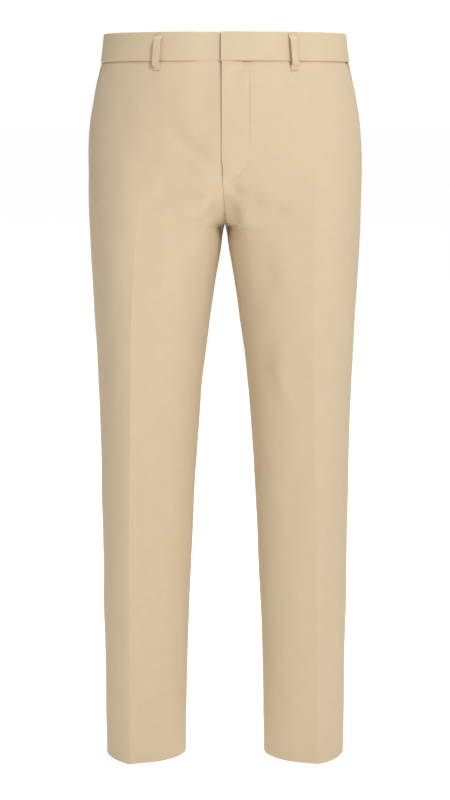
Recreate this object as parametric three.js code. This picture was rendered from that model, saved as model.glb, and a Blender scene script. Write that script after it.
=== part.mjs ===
// Flat-front suit trousers, filled out as if worn and held up at the waistband.
// Millimetres, +Z up. The front faces -Y and the wearer's left is +X. The origin is the centre of the
// waistband, half way up it. Each cut piece is its own closed wall, 0.3 mm from its neighbours.
import * as THREE from "three";

// ---- Driving dimensions -------------------------------------------------------------------------
// A "drop" is a distance straight down from the waistband's top edge.
const bandHeight = 38;
const outseam = 1040; // top edge of the waistband to the hem
const rise = 263; // top edge of the waistband to the fork, where the inseams meet the seat seam
const cloth = 1.4; // a panel's wall
const bandWall = 2.6; // outer band, interlining and inner band together
const gap = 0.3; // left at every seam
const bandProud = 0.6; // how far the waistband stands out from the panels below it

const hem = { depth: 36, wall: 2.6 }; // the allowance turned up inside the leg

const fly = {
  seamShift: -3, // the centre front seam lies a little to the wearer's right
  overlap: 1.6, // the left front's folded edge past that seam
  lift: 1.9, // how far that edge rides over the right front
  tuck: 2.6, // how far the right front is drawn in beside it at the waist
  lapEnds: [164, 180], // drops between which the overlap runs out
  bottom: 196, // drop at which the opening ends
  width: 34, // fly edge to the curved stitching
  curve: 38, // height of the stitching's rounded lower end
};
const underlap = { left: 30, right: -26, top: 41, bottom: 186, wall: 1.2, clearance: 0.5 };
const zip = { left: 20, right: 2, top: 44, bottom: 182, wall: 1.5, clearance: 0.35 };
const bandLap = { leftEnd: -5.3, rightEnd: 30, lift: 1.2, tuck: 3.9, near: 14, far: 52 };
const hook = { width: 13, height: 15, wall: 0.7, across: 12 };

const sidePocket = { inset: 34, bottom: 188, tuckUnder: 9, clearance: 0.75 }; // slanted mouth, measured from the side seam
const backPocket = { fromCentre: 56, width: 130, drop: 93, height: 11, wall: 1 };

const loop = { width: 10, wall: 1.5, clear: 6, foot: 5, ramp: 4, topDrop: 1.6, bottomDrop: 51 };
// Where each belt loop is sewn: degrees round the waist from the centre front, left positive.
const loopPlaces = [
  { name: "loop_front_left", angle: 30.2 },
  { name: "loop_front_right", angle: -29.7 },
  { name: "loop_side_left", angle: 108 },
  { name: "loop_side_right", angle: -108 },
  { name: "loop_back_left", angle: 149 },
  { name: "loop_back_right", angle: -149 },
  { name: "loop_centre_back", angle: 180 },
];

const waistTop = bandHeight / 2; // height of the band's top edge in the part's frame

// ---- Sections -----------------------------------------------------------------------------------
// The hips, as half-ellipse quarters: half width, depth to the front and back, and squareness (2 is an ellipse).
const hipSections = [
  { drop: 0, side: 166.2, front: 108, back: 110, square: 2.15 },
  { drop: 38, side: 171.6, front: 112, back: 117, square: 2.15 },
  { drop: 84, side: 182.1, front: 116, back: 128, square: 2.15 },
  { drop: 127, side: 188.3, front: 118.5, back: 135, square: 2.2 },
  { drop: 172, side: 190.7, front: 119, back: 138, square: 2.25 },
  { drop: 216, side: 190.8, front: 117, back: 134, square: 2.3 },
  { drop: 263, side: 189.9, front: 111, back: 123, square: 2.3 },
];
// One leg: outer and inner reach, the pressed creases' place on each leg, and the depths. Above the fork
// the inner reach is negative, because the two legs run into each other and are cut at the centre.
const legSections = [
  { drop: 110, outer: 186.3, inner: -300, creaseRight: 108, creaseLeft: 108, front: -110, backCrease: 104, back: 126, innerDepth: 10, square: 3.6 },
  { drop: 165, outer: 190.6, inner: -170, creaseRight: 110, creaseLeft: 112, front: -112, backCrease: 101, back: 131, innerDepth: 10, square: 3.5 },
  { drop: 196, outer: 190.8, inner: -110, creaseRight: 112, creaseLeft: 115, front: -113, backCrease: 99, back: 131, innerDepth: 10, square: 3.4 },
  { drop: 218, outer: 190.7, inner: -66, creaseRight: 114, creaseLeft: 117, front: -112.5, backCrease: 97, back: 127, innerDepth: 10, square: 3.3 },
  { drop: 240, outer: 190.2, inner: -29, creaseRight: 116, creaseLeft: 118, front: -111, backCrease: 96, back: 123, innerDepth: 10, square: 3.2 },
  { drop: 254, outer: 190, inner: -9, creaseRight: 118, creaseLeft: 119, front: -109.5, backCrease: 95, back: 120, innerDepth: 10, square: 3.1 },
  { drop: 263, outer: 189.8, inner: 0, creaseRight: 119, creaseLeft: 119.5, front: -108.5, backCrease: 94.5, back: 118, innerDepth: 10, square: 3 },
  { drop: 303, outer: 188.3, inner: 7, creaseRight: 122.5, creaseLeft: 120, front: -104, backCrease: 92, back: 110, innerDepth: 8, square: 2.6 },
  { drop: 343, outer: 186.7, inner: 13.8, creaseRight: 125.5, creaseLeft: 120, front: -98.5, backCrease: 91, back: 103, innerDepth: 6, square: 2.35 },
  { drop: 403, outer: 183.8, inner: 22.3, creaseRight: 128.5, creaseLeft: 120, front: -91.5, backCrease: 89, back: 96, innerDepth: 4, square: 2.15 },
  { drop: 483, outer: 180.8, inner: 32.4, creaseRight: 130.5, creaseLeft: 122.5, front: -83, backCrease: 88, back: 88.5, innerDepth: 3, square: 2.05 },
  { drop: 565, outer: 178.4, inner: 38.8, creaseRight: 132, creaseLeft: 124.5, front: -76, backCrease: 88, back: 82.5, innerDepth: 3, square: 2 },
  { drop: 648, outer: 177.9, inner: 44.2, creaseRight: 134, creaseLeft: 128, front: -70, backCrease: 89, back: 77.5, innerDepth: 3, square: 2 },
  { drop: 731, outer: 177.1, inner: 48, creaseRight: 136, creaseLeft: 130, front: -65.5, backCrease: 91, back: 73, innerDepth: 3, square: 2 },
  { drop: 816, outer: 177, inner: 52.2, creaseRight: 136.5, creaseLeft: 131.5, front: -61.5, backCrease: 93, back: 69, innerDepth: 3, square: 2 },
  { drop: 901, outer: 175.9, inner: 55.4, creaseRight: 136.8, creaseLeft: 133, front: -58, backCrease: 95, back: 65, innerDepth: 3, square: 2 },
  { drop: 1040, outer: 175.8, inner: 57.9, creaseRight: 137.5, creaseLeft: 134.7, front: -53.5, backCrease: 97, back: 59.5, innerDepth: 3, square: 2 },
];
const outerSquare = [
  { drop: 110, front: 2.15, back: 2.15 },
  { drop: 263, front: 2.1, back: 2.1 },
  { drop: 483, front: 1.85, back: 1.9 },
  { drop: 1040, front: 1.7, back: 1.75 },
];
// The pressed creases: how far each stands out of the rounded leg, and how far along the cloth it fades.
const creaseHeights = [
  { drop: 200, right: 0, left: 0, back: 0 },
  { drop: 263, right: 0.8, left: 0.3, back: 0.6 },
  { drop: 403, right: 2, left: 1.1, back: 1.8 },
  { drop: 648, right: 2.8, left: 1.7, back: 2.4 },
  { drop: 1040, right: 2.8, left: 1.8, back: 2.4 },
];
const creaseReach = 12;
const blend = { from: 110, to: 236 }; // drops between which the hips turn into legs
const sideDepth = 2; // the side seam lies just behind the middle

// The largest folds: soft troughs (depth below 0) and ridges, between two points given as the distance
// from the centre and the drop. Side is the wearer's.
const folds = [
  { side: "right", panel: "front", from: [12, 206], to: [78, 213], width: 11, depth: -2.6 },
  { side: "right", panel: "front", from: [6, 192], to: [92, 182], width: 13, depth: 1.4 },
  { side: "right", panel: "front", from: [14, 232], to: [84, 228], width: 12, depth: 1.6 },
  { side: "right", panel: "front", from: [28, 262], to: [66, 250], width: 15, depth: -3 },
  { side: "left", panel: "front", from: [8, 202], to: [98, 240], width: 12, depth: -3.2 },
  { side: "left", panel: "front", from: [22, 194], to: [112, 218], width: 13, depth: 1.8 },
  { side: "left", panel: "front", from: [52, 290], to: [58, 520], width: 17, depth: -3.2 },
  { side: "right", panel: "back", from: [14, 214], to: [96, 262], width: 15, depth: -2.4 },
  { side: "left", panel: "back", from: [16, 222], to: [90, 258], width: 14, depth: -2.2 },
  { side: "right", panel: "back", from: [40, 300], to: [132, 322], width: 18, depth: -2.2 },
  { side: "left", panel: "back", from: [46, 306], to: [120, 338], width: 17, depth: -2.4 },
];

// ---- Small tools --------------------------------------------------------------------------------
const clamp01 = (t) => Math.min(1, Math.max(0, t));
const mix = (a, b, t) => a + (b - a) * t;
const ease = (low, high, x) => {
  const t = clamp01((x - low) / (high - low));
  return t * t * (3 - 2 * t);
};
const sideName = (side) => (side > 0 ? "left" : "right");

// A column of a table at a drop: a smooth curve through the rows that never overshoots them.
function read(table, column, drop) {
  const last = table.length - 1;
  if (drop <= table[0].drop) return table[0][column];
  if (drop >= table[last].drop) return table[last][column];
  let i = 0;
  while (table[i + 1].drop < drop) i += 1;
  const slopeOf = (k) =>
    (table[k + 1][column] - table[k][column]) / (table[k + 1].drop - table[k].drop);
  const tangentAt = (k) => {
    if (k === 0) return slopeOf(0);
    if (k === last) return slopeOf(last - 1);
    const [before, after] = [slopeOf(k - 1), slopeOf(k)];
    return before * after <= 0 ? 0 : (2 * before * after) / (before + after);
  };
  const span = table[i + 1].drop - table[i].drop;
  const t = (drop - table[i].drop) / span;
  const [a, b] = [table[i][column], table[i + 1][column]];
  const [ta, tb] = [tangentAt(i) * span, tangentAt(i + 1) * span];
  return (
    (2 * t ** 3 - 3 * t ** 2 + 1) * a +
    (t ** 3 - 2 * t ** 2 + t) * ta +
    (3 * t ** 2 - 2 * t ** 3) * b +
    (t ** 3 - t ** 2) * tb
  );
}

// A quarter of a superellipse at angle t, 0 to a right angle: [share across, share deep].
const quarter = (t, square) => [
  Math.max(0, Math.sin(t)) ** (2 / square),
  Math.max(0, Math.cos(t)) ** (2 / square),
];

// Points along a line of [x, y], spaced evenly.
function spaced(line, count) {
  const along = [0];
  for (let i = 1; i < line.length; i += 1)
    along.push(along[i - 1] + Math.hypot(line[i][0] - line[i - 1][0], line[i][1] - line[i - 1][1]));
  const total = along[along.length - 1];
  const made = [];
  let i = 1;
  for (let k = 0; k <= count; k += 1) {
    const at = (total * k) / count;
    while (i < line.length - 1 && along[i] < at) i += 1;
    const t = (at - along[i - 1]) / Math.max(along[i] - along[i - 1], 1e-9);
    made.push([mix(line[i - 1][0], line[i][0], t), mix(line[i - 1][1], line[i][1], t)]);
  }
  return made;
}

// ---- The form -----------------------------------------------------------------------------------
const lineSteps = 64; // points along each half of a panel's outline

// Half of the horizontal outline of one side, as drawn for the left leg: from the centre or inseam, by the
// crease, to the side seam. Each half has lineSteps + 1 points.
function outline(side, panel, drop) {
  const isFront = panel === "front";
  const sign = isFront ? -1 : 1;
  const creaseColumn = side > 0 ? "creaseLeft" : "creaseRight";
  const crease = read(legSections, isFront ? creaseColumn : "backCrease", drop);
  const depth = Math.abs(read(legSections, isFront ? "front" : "back", drop));
  const outer = read(legSections, "outer", drop);
  const inner = read(legSections, "inner", drop);
  const innerDepth = read(legSections, "innerDepth", drop);
  const innerSquare = read(legSections, "square", drop);
  const sideSquare = read(outerSquare, panel, drop);
  const width = crease - inner;
  // Above the fork the leg is cut where it meets the centre.
  const cut = inner < 0 ? Math.acos(Math.min(1, crease / width) ** (innerSquare / 2)) : 0;
  const legInner = [];
  const legOuter = [];
  for (let i = 0; i <= lineSteps; i += 1) {
    const t = i / lineSteps;
    const [deep, across] = quarter(mix(cut, Math.PI / 2, t), innerSquare);
    legInner.push([crease - width * across, innerDepth + sign * (depth - sign * innerDepth) * deep]);
    const [out, forward] = quarter((Math.PI / 2) * t, sideSquare);
    legOuter.push([
      crease + (outer - crease) * out,
      sideDepth + sign * (depth - sign * sideDepth) * forward,
    ]);
  }
  const share = ease(blend.from, blend.to, drop);
  if (share >= 1) return [spaced(legInner, lineSteps), spaced(legOuter, lineSteps)];
  const halfWidth = read(hipSections, "side", drop);
  const hipDepth = read(hipSections, panel, drop);
  const hipSquare = read(hipSections, "square", drop);
  const split = Math.asin((crease / halfWidth) ** (hipSquare / 2));
  const hip = (from, to) => {
    const line = [];
    for (let i = 0; i <= lineSteps; i += 1) {
      const [out, forward] = quarter(mix(from, to, i / lineSteps), hipSquare);
      line.push([halfWidth * out, sideDepth + sign * (hipDepth - sign * sideDepth) * forward]);
    }
    return spaced(line, lineSteps);
  };
  const both = (a, b) => a.map((p, i) => [mix(p[0], b[i][0], share), mix(p[1], b[i][1], share)]);
  return [
    both(hip(0, split), spaced(legInner, lineSteps)),
    both(hip(split, Math.PI / 2), spaced(legOuter, lineSteps)),
  ];
}

const outlines = new Map();
function outlineAt(side, panel, drop) {
  const key = `${side} ${panel} ${drop.toFixed(4)}`;
  if (!outlines.has(key)) {
    const halves = outline(side, panel, drop);
    const lengths = halves.map((line) =>
      line.slice(1).reduce((sum, p, i) => sum + Math.hypot(p[0] - line[i][0], p[1] - line[i][1]), 0),
    );
    outlines.set(key, { halves, lengths });
  }
  return outlines.get(key);
}

// A point of the bare form: u runs 0 at the centre or inseam, 0.5 at the crease, 1 at the side seam.
function formPoint(side, panel, u, drop) {
  const { halves } = outlineAt(side, panel, drop);
  const half = u < 0.5 ? 0 : 1;
  const at = clamp01((u - half * 0.5) * 2) * lineSteps;
  const i = Math.min(lineSteps - 1, Math.floor(at));
  const [a, b] = [halves[half][i], halves[half][i + 1]];
  const t = at - i;
  return new THREE.Vector3(side * mix(a[0], b[0], t), mix(a[1], b[1], t), waistTop - drop);
}

// The form's outward normal.
function formNormal(side, panel, u, drop) {
  const du = 0.004;
  const dd = 1;
  const across = formPoint(side, panel, Math.min(1, u + du), drop).sub(
    formPoint(side, panel, Math.max(0, u - du), drop),
  );
  const down = formPoint(side, panel, u, drop + dd).sub(formPoint(side, panel, u, drop - dd));
  const normal = across.cross(down).normalize();
  const outward = side * (panel === "front" ? 1 : -1);
  return normal.multiplyScalar(-outward);
}

// How far a fold moves the cloth at a place.
function foldDepth(side, panel, x, drop) {
  return folds
    .filter((f) => f.side === sideName(side) && f.panel === panel)
    .reduce((sum, f) => {
      const [dx, dd] = [f.to[0] - f.from[0], f.to[1] - f.from[1]];
      const long = Math.hypot(dx, dd);
      const t = ((x - f.from[0]) * dx + (drop - f.from[1]) * dd) / (long * long);
      const off = ((x - f.from[0]) * dd - (drop - f.from[1]) * dx) / long;
      const along = Math.sin(Math.PI * clamp01((t * long + f.width) / (long + 2 * f.width))) ** 1.5;
      return sum + f.depth * along * Math.exp(-((off / f.width) ** 2));
    }, 0);
}

// The fly stitching's distance from the centre seam at a drop: straight, then a rounded lower end.
function flyStitch(drop) {
  const into = clamp01((drop - (fly.bottom - fly.curve)) / fly.curve);
  return fly.width * Math.sqrt(1 - into ** 2);
}

// Everything that moves a panel's cloth off the bare form: crease, folds and the fly's lap.
function clothLift(side, panel, u, drop, x) {
  const { lengths } = outlineAt(side, panel, drop);
  const fromCrease = Math.abs(u - 0.5) * 2 * lengths[u < 0.5 ? 0 : 1];
  const column = panel === "front" ? sideName(side) : "back";
  let lift = read(creaseHeights, column, drop) * Math.exp(-fromCrease / creaseReach);
  lift += foldDepth(side, panel, x, drop);
  if (panel === "front" && side > 0) {
    const held = 1 - ease(fly.bottom - 2, fly.bottom + 12, drop);
    lift += fly.lift * held * (1 - ease(0, Math.max(flyStitch(drop), 8), x));
  }
  if (panel === "front" && side < 0) {
    const held = 1 - ease(bandHeight, fly.bottom - 6, drop);
    lift -= fly.tuck * held * (1 - ease(bandLap.near, bandLap.far, x));
  }
  return lift;
}

// A point on a panel's cloth, moved out by `out` (in if it is below 0).
function clothPoint(side, panel, u, drop, out = 0) {
  const bare = formPoint(side, panel, u, drop);
  const x = Math.abs(bare.x);
  const lift = clothLift(side, panel, u, drop, x);
  const point = bare.addScaledVector(formNormal(side, panel, u, drop), lift + out);
  if (panel === "front") {
    const held = 1 - ease(fly.bottom, rise, drop);
    point.x += fly.seamShift * held * Math.exp(-x / 30);
    if (side > 0) {
      const lapped = 1 - ease(...fly.lapEnds, drop);
      point.x -= fly.overlap * lapped * Math.exp(-x / 10);
    }
  }
  return point;
}

// ---- Walls --------------------------------------------------------------------------------------
// A closed wall between two grids of points of the same size, grid[row][column], outer face first. Rows
// run up and columns run to the wearer's left as seen from outside, or both the other way.
function wall(outerGrid, innerGrid) {
  const rows = outerGrid.length;
  const columns = outerGrid[0].length;
  const positions = [...outerGrid.flat(), ...innerGrid.flat()].flatMap((p) => [p.x, p.y, p.z]);
  const outer = (r, c) => r * columns + c;
  const inner = (r, c) => rows * columns + r * columns + c;
  const faces = [];
  const quad = (a, b, c, d) => faces.push(a, b, c, a, c, d);
  for (let r = 0; r < rows - 1; r += 1)
    for (let c = 0; c < columns - 1; c += 1) {
      quad(outer(r, c), outer(r, c + 1), outer(r + 1, c + 1), outer(r + 1, c));
      quad(inner(r, c), inner(r + 1, c), inner(r + 1, c + 1), inner(r, c + 1));
    }
  for (let c = 0; c < columns - 1; c += 1) {
    quad(inner(0, c), inner(0, c + 1), outer(0, c + 1), outer(0, c));
    quad(outer(rows - 1, c), outer(rows - 1, c + 1), inner(rows - 1, c + 1), inner(rows - 1, c));
  }
  for (let r = 0; r < rows - 1; r += 1) {
    quad(outer(r, 0), outer(r + 1, 0), inner(r + 1, 0), inner(r, 0));
    quad(inner(r, columns - 1), inner(r + 1, columns - 1), outer(r + 1, columns - 1), outer(r, columns - 1));
  }
  const geometry = new THREE.BufferGeometry();
  geometry.setAttribute("position", new THREE.Float32BufferAttribute(positions, 3));
  geometry.setIndex(faces);
  if (signedVolume(positions, faces) < 0) {
    for (let i = 0; i < faces.length; i += 3) [faces[i + 1], faces[i + 2]] = [faces[i + 2], faces[i + 1]];
    geometry.setIndex(faces);
  }
  geometry.computeVertexNormals();
  return geometry;
}

function signedVolume(positions, faces) {
  const at = (i) => new THREE.Vector3().fromArray(positions, 3 * i);
  let sum = 0;
  for (let i = 0; i < faces.length; i += 3)
    sum += at(faces[i]).dot(at(faces[i + 1]).cross(at(faces[i + 2])));
  return sum;
}

const steps = (from, to, count) => Array.from({ length: count + 1 }, (_, i) => mix(from, to, i / count));

// ---- Materials ----------------------------------------------------------------------------------
const suiting = new THREE.MeshStandardMaterial({ color: 0xd9c29b, roughness: 0.85, metalness: 0 });
const bandCloth = suiting.clone();
const loopCloth = suiting.clone();
const pocketCloth = suiting.clone();
const zipTape = new THREE.MeshStandardMaterial({ color: 0xc4ae86, roughness: 0.7, metalness: 0 });
const hookMetal = new THREE.MeshStandardMaterial({ color: 0xb9bbbd, roughness: 0.35, metalness: 1 });

const trousers = new THREE.Group();
function add(name, geometry, material, parent = trousers) {
  const mesh = new THREE.Mesh(geometry, material);
  mesh.name = name;
  parent.add(mesh);
  return mesh;
}

// ---- Panels -------------------------------------------------------------------------------------
// The seat seam's course in the middle plane, from the fork up to the waistband: drops at equal steps
// along it. It sets off almost level and then turns up, so equal steps of height would leave it coarse.
function seatSeamDrops(side, panel, count) {
  const line = steps(0, 1, 240).map((t) => {
    const drop = rise - (rise - bandHeight - gap) * t ** 3;
    return [formPoint(side, panel, 0, drop).y, drop];
  });
  return spaced(line, count).map(([, drop]) => drop);
}

// Drops of a panel's rows, hem first: each row's own at the centre and from the crease outward.
function panelRows(side, panel) {
  const below = steps(0, 1, 14).map((t) => outseam - (outseam - rise) * t ** 0.72);
  const above = seatSeamDrops(side, panel, 19).slice(1);
  const outerDrops = steps(rise, bandHeight + gap, 19).slice(1);
  return [
    ...below.map((drop) => ({ centre: drop, outer: drop })),
    ...above.map((centre, i) => ({ centre, outer: outerDrops[i] })),
  ];
}

// How far along the cloth the front panel stops short of the side seam, at the slanted pocket mouth.
const mouthInset = (drop) =>
  sidePocket.inset * (1 - clamp01((drop - bandHeight) / (sidePocket.bottom - bandHeight)));

const hemWall = (drop) => mix(cloth, hem.wall, ease(outseam - hem.depth - 4, outseam - hem.depth, drop));

// The u of a point `inset` along the cloth from the side seam.
const uFromSide = (side, panel, drop, inset) =>
  1 - (0.5 * inset) / outlineAt(side, panel, drop).lengths[1];

function legPanel(side, panel) {
  const innerColumns = 7;
  const outerColumns = 6;
  const rows = panelRows(side, panel);
  const grid = (depthOf) =>
    rows.map(({ centre, outer }) => {
      const inset = panel === "front" ? Math.max(gap / 2, mouthInset(outer)) : gap / 2;
      const first = (0.25 * gap) / outlineAt(side, panel, centre).lengths[0];
      const last = uFromSide(side, panel, outer, inset);
      const us = [...steps(first, 0.5, innerColumns), ...steps(0.5, last, outerColumns).slice(1)];
      return us.map((u) => {
        const drop = mix(centre, outer, clamp01(2 * u));
        return keepToSeams(clothPoint(side, panel, u, drop, -depthOf(drop)), side, panel, u, drop);
      });
    });
  return wall(grid(() => 0), grid(hemWall));
}

// Keeps a panel half a gap from its seams, so no two panels touch: the centre seam, and the plane of the
// side seam and inseam.
function keepToSeams(point, side, panel, u, drop) {
  let seam = 0;
  if (panel === "front") {
    seam = fly.seamShift * (1 - ease(fly.bottom, rise, drop));
    if (side > 0) seam -= fly.overlap * (1 - ease(...fly.lapEnds, drop));
  }
  if (side * (point.x - seam) < gap / 2) point.x = seam + (side * gap) / 2;
  const towards = panel === "front" ? -1 : 1;
  const plane = u > 0.5 ? sideDepth : read(legSections, "innerDepth", drop);
  if (towards * (point.y - plane) < gap / 2) point.y = plane + (towards * gap) / 2;
  return point;
}

for (const side of [1, -1])
  for (const panel of ["front", "back"])
    add(`${panel}_${sideName(side)}`, legPanel(side, panel), suiting);

// ---- Side pockets: the facing that shows between the slanted mouth and the side seam ---------------
function pocketFacing(side) {
  const drops = steps(sidePocket.bottom + 12, bandHeight + gap, 9);
  const grid = (out) =>
    drops.map((drop) => {
      const from = uFromSide(side, "front", drop, mouthInset(drop) + sidePocket.tuckUnder);
      const to = uFromSide(side, "front", drop, gap / 2);
      return steps(from, to, 5).map((u) => clothPoint(side, "front", u, drop, out));
    });
  const below = -(cloth + sidePocket.clearance);
  return wall(grid(below), grid(below - 1.1));
}
for (const side of [1, -1]) add(`pocket_facing_${sideName(side)}`, pocketFacing(side), pocketCloth);

// ---- Back pockets: a jetted welt on each back panel -------------------------------------------------
function backWelt(side) {
  const { drop, height, fromCentre, width, wall: thick } = backPocket;
  const rows = steps(drop + height / 2, drop - height / 2, 2);
  const grid = (out) =>
    rows.map((at) => {
      const { lengths } = outlineAt(side, "back", at);
      const uAt = (s) => (s < lengths[0] ? (0.5 * s) / lengths[0] : 0.5 + (0.5 * (s - lengths[0])) / lengths[1]);
      return steps(fromCentre, fromCentre + width, 14).map((s) => clothPoint(side, "back", uAt(s), at, out));
    });
  return wall(grid(0.45 + thick), grid(0.45));
}
for (const side of [1, -1]) add(`back_pocket_${sideName(side)}`, backWelt(side), pocketCloth);

// ---- Waistband ------------------------------------------------------------------------------------
// A point of the band's outer face: angle is degrees round the waist from the centre front, left positive.
function waistPoint(angle, drop, out = 0) {
  const t = THREE.MathUtils.degToRad(angle);
  const square = read(hipSections, "square", drop);
  const side = read(hipSections, "side", drop);
  const depth = read(hipSections, Math.cos(t) > 0 ? "front" : "back", drop);
  const power = (value) => Math.sign(value) * Math.abs(value) ** (2 / square);
  const forward = Math.cos(t) > 0 ? -(depth + sideDepth) : -(depth - sideDepth);
  const point = new THREE.Vector3(side * power(Math.sin(t)), sideDepth + forward * power(Math.cos(t)), waistTop - drop);
  return out === 0 ? point : point.addScaledVector(waistNormal(angle, drop), out);
}

function waistNormal(angle, drop) {
  const across = waistPoint(angle + 1, drop).sub(waistPoint(angle - 1, drop));
  const down = waistPoint(angle, drop + 2).sub(waistPoint(angle, drop - 2));
  return across.cross(down).normalize().negate();
}

// The angle at which the waist is x from the centre, near the centre front.
const frontAngle = (x) => {
  const share = Math.abs(x) / read(hipSections, "side", 0);
  return Math.sign(x) * THREE.MathUtils.radToDeg(Math.asin(share ** (read(hipSections, "square", 0) / 2)));
};

// How far each end of the band stands off the waist where the two ends lap.
function bandOffset(side, x) {
  if (side > 0) return bandProud + bandLap.lift * (1 - ease(bandLap.near, bandLap.far, x));
  return bandProud - bandLap.tuck * (1 - ease(bandLap.near, bandLap.far, -x));
}

function waistband(side) {
  const end = side > 0 ? frontAngle(bandLap.leftEnd) : frontAngle(bandLap.rightEnd);
  const backGap = THREE.MathUtils.radToDeg(Math.asin(((gap / 2) / 166) ** 1.075));
  const angles = [
    ...steps(side * (180 - backGap), side * 20, 26),
    ...steps(side * 20, end, 7).slice(1),
  ];
  const grid = (inward) =>
    steps(bandHeight, 0, 3).map((drop) =>
      angles.map((angle) => waistPoint(angle, drop, bandOffset(side, waistPoint(angle, drop).x) - inward)),
    );
  return wall(grid(0), grid(bandWall));
}
for (const side of [1, -1]) add(`waistband_${sideName(side)}`, waistband(side), bandCloth);

// ---- Fly: the underlap sewn behind the right front, and the closed zip between -----------------------
// A strip behind the fly, given by its left and right edges and how far in its outer face lies.
function flyStrip({ left, right, top, bottom, wall: thick }, depthAt, columns) {
  const side = (x) => (x < 0 ? -1 : 1);
  const place = (x, drop, out) => {
    const half = outlineAt(side(x), "front", drop);
    const u = (0.5 * Math.abs(x)) / half.lengths[0];
    return formPoint(side(x), "front", u, drop).setX(x).addScaledVector(formNormal(side(x), "front", u, drop), out);
  };
  const grid = (extra) =>
    steps(bottom, top, 8).map((drop) =>
      steps(right, left, columns).map((x) => place(x, drop, -(depthAt(drop, x) + extra))),
    );
  return wall(grid(0), grid(thick));
}
const rightFrontTuck = (drop) => fly.tuck * (1 - ease(bandHeight, fly.bottom - 6, drop));
// The underlap lies against the right front, and steps in behind the zip.
const underlapDepth = (drop, x) =>
  rightFrontTuck(drop) + cloth + underlap.clearance + (zip.wall + zip.clearance) * ease(-12, 0, x);
const zipDepth = (drop, x) => underlapDepth(drop, x) - zip.clearance - zip.wall;
add("fly_underlap", flyStrip(underlap, underlapDepth, 8), pocketCloth);
add("fly_zip", flyStrip(zip, zipDepth, 3), zipTape);

// ---- Waist hook and bar, flat between the lapped ends of the band ------------------------------------
function plate(name, inward) {
  const middle = bandHeight / 2;
  const holder = new THREE.Group();
  const angle = frontAngle(hook.across);
  holder.position.copy(waistPoint(angle, middle, -inward));
  const normal = waistNormal(angle, middle);
  holder.quaternion.setFromUnitVectors(new THREE.Vector3(0, -1, 0), normal);
  trousers.add(holder);
  add(name, new THREE.BoxGeometry(hook.width, hook.wall, hook.height), hookMetal, holder);
}
const leftInner = bandWall - bandProud - bandLap.lift; // the left end's inner face, below the waist line
const rightOuter = bandLap.tuck - bandProud; // the right end's outer face
plate("waist_hook", leftInner + gap + 0.2 + hook.wall / 2);
plate("waist_bar", rightOuter - gap - hook.wall / 2);

// ---- Belt loops -------------------------------------------------------------------------------------
// A loop's side view: along the waistband from its lower end, and out from the cloth.
function loopProfile(long) {
  const { foot, ramp, clear, wall: thick } = loop;
  const shape = new THREE.Shape();
  shape.moveTo(0, 0);
  shape.lineTo(foot, 0);
  shape.lineTo(foot + ramp, clear);
  shape.lineTo(long - foot - ramp, clear);
  shape.lineTo(long - foot, 0);
  shape.lineTo(long, 0);
  shape.lineTo(long, thick);
  shape.lineTo(long - foot - ramp, clear + thick);
  shape.lineTo(foot, clear + thick);
  shape.quadraticCurveTo(0, clear + thick, 0, thick);
  shape.closePath();
  return shape;
}

for (const { name, angle } of loopPlaces) {
  const side = Math.sign(angle);
  const out = bandOffset(side, waistPoint(angle, 0).x) + 0.15;
  const top = waistPoint(angle, loop.topDrop, out);
  const bottom = waistPoint(angle, loop.bottomDrop, 0.6);
  const up = top.clone().sub(bottom);
  const long = up.length();
  const holder = new THREE.Group();
  const yAxis = up.clone().normalize();
  const zAxis = waistNormal(angle, bandHeight / 2);
  const xAxis = yAxis.clone().cross(zAxis).normalize();
  const outAxis = xAxis.clone().cross(yAxis).normalize();
  holder.position.copy(bottom).addScaledVector(xAxis, -loop.width / 2);
  // The profile is drawn in x along the loop and y out of it, and is pushed along z across it.
  holder.quaternion.setFromRotationMatrix(new THREE.Matrix4().makeBasis(yAxis, outAxis, xAxis));
  if (yAxis.clone().cross(outAxis).dot(xAxis) < 0)
    holder.quaternion.setFromRotationMatrix(new THREE.Matrix4().makeBasis(yAxis, outAxis, xAxis.negate()));
  trousers.add(holder);
  add(
    name,
    new THREE.ExtrudeGeometry(loopProfile(long), { depth: loop.width, bevelEnabled: false, curveSegments: 4 }),
    loopCloth,
    holder,
  );
}

export default trousers;
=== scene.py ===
# Beige flat-front suit trousers, filled out as if worn, standing just clear of a white studio floor.
# Cloth is shaped in millimetres and made in metres. A "drop" is a distance down from the waistband's top.
import math

import bpy
import numpy as np
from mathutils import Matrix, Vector


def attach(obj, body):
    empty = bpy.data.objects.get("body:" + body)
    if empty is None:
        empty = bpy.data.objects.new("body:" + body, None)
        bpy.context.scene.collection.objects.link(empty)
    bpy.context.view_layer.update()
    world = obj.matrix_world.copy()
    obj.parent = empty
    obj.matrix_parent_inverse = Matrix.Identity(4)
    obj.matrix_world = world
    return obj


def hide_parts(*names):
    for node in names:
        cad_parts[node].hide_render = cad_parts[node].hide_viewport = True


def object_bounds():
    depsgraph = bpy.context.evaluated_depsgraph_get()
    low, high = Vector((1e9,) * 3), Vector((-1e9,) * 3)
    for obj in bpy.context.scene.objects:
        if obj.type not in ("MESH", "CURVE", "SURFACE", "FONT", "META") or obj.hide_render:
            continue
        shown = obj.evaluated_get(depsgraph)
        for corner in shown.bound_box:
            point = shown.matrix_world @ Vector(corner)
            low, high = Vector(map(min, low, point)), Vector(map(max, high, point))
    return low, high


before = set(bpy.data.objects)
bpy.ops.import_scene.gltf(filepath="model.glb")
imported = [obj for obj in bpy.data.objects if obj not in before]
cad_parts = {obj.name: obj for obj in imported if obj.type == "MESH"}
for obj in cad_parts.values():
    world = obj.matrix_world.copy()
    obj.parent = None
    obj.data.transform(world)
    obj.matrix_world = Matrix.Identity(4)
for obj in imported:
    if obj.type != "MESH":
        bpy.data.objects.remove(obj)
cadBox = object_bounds()
print("frame loaded", cadBox)

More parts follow.
